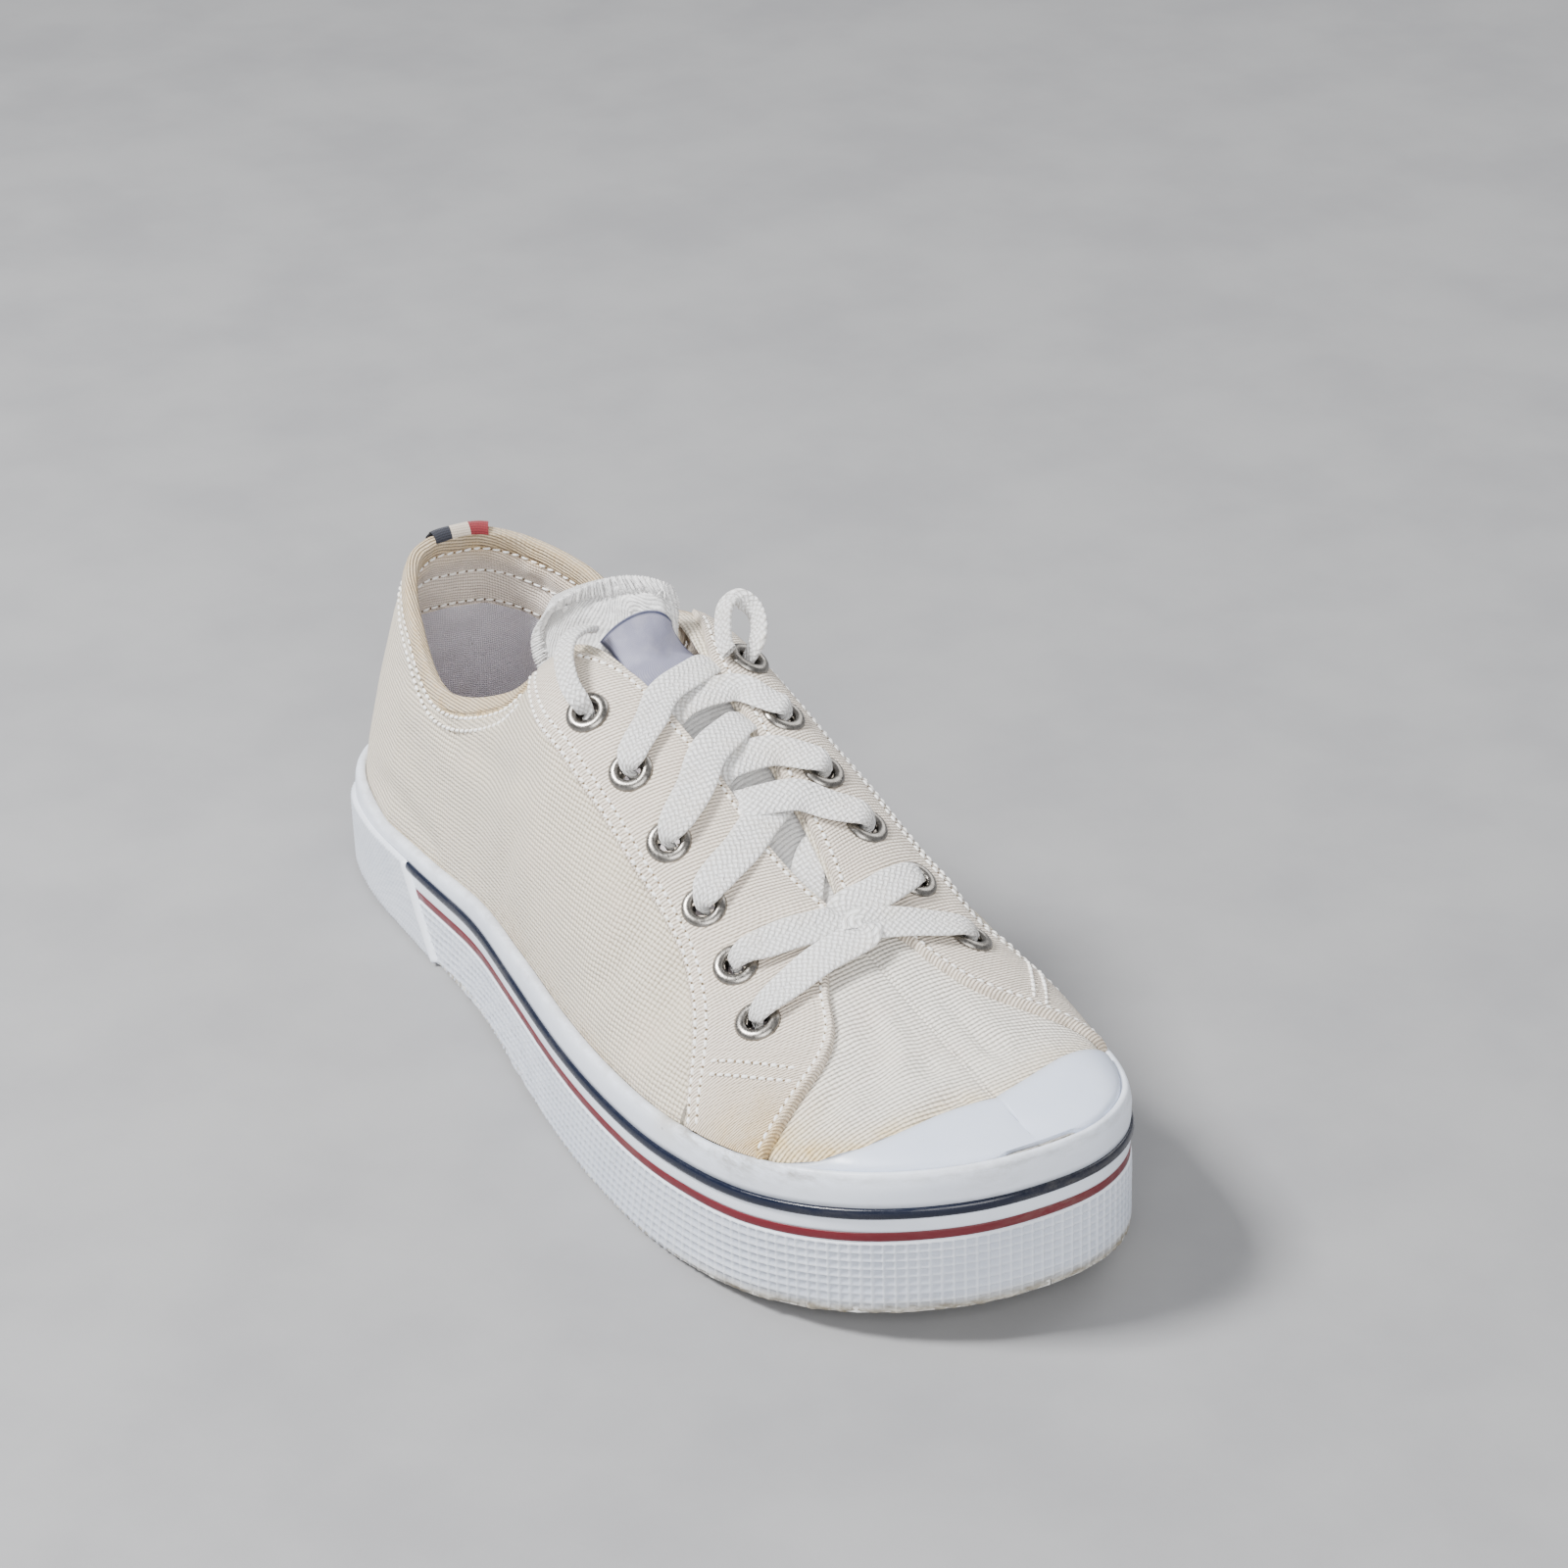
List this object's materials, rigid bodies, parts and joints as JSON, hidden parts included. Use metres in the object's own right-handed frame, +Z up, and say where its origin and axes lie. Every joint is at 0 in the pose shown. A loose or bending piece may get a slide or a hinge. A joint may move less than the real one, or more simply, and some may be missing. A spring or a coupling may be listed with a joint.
{
  "type": "low canvas sneaker",
  "caption": "Worn low lace-up canvas sneaker for the right foot, with a rubber toe cap, a striped rubber side band and flat laces in metal eyelets.",
  "frame": {"origin": "centre of the sole's outline in plan, on the floor under the tread", "axes": "+X from heel to toe, +Y towards the inner (big toe) side of this right shoe, +Z up"},
  "size_m": [0.3023, 0.109, 0.1194],
  "materials": {
    "outsole": "matt rubber, worn",
    "foxing": "satin rubber",
    "blue_line": "glossy rubber",
    "red_line": "satin rubber",
    "heel_patch": "textured rubber",
    "upper": "woven canvas",
    "eyestay": "woven canvas",
    "toe_cap": "satin rubber",
    "insole": "felted",
    "tongue": "brushed terry",
    "tongue_label": "satin weave",
    "heel_tape": "ribbon",
    "eyelet": "dulled nickel",
    "lace": "flat braid"
  },
  "bodies": {
    "root": {"outsole": "outsole", "foxing": "foxing", "blue_line": "blue_line", "red_line": "red_line", "heel_patch": "heel_patch", "upper": "upper", "eyestay_lateral": "eyestay", "eyestay_medial": "eyestay", "toe_cap": "toe_cap", "insole": "insole", "tongue": "tongue", "tongue_label": "tongue_label", "heel_tape": "heel_tape", "eyelet_lateral_1": "eyelet", "eyelet_lateral_2": "eyelet", "eyelet_lateral_3": "eyelet", "eyelet_lateral_4": "eyelet", "eyelet_lateral_5": "eyelet", "eyelet_lateral_6": "eyelet", "eyelet_medial_1": "eyelet", "eyelet_medial_2": "eyelet", "eyelet_medial_3": "eyelet", "eyelet_medial_4": "eyelet", "eyelet_medial_5": "eyelet", "eyelet_medial_6": "eyelet", "lace": "lace", "lace_end_lateral": "lace", "lace_end_medial": "lace"}
  },
  "joints": []
}
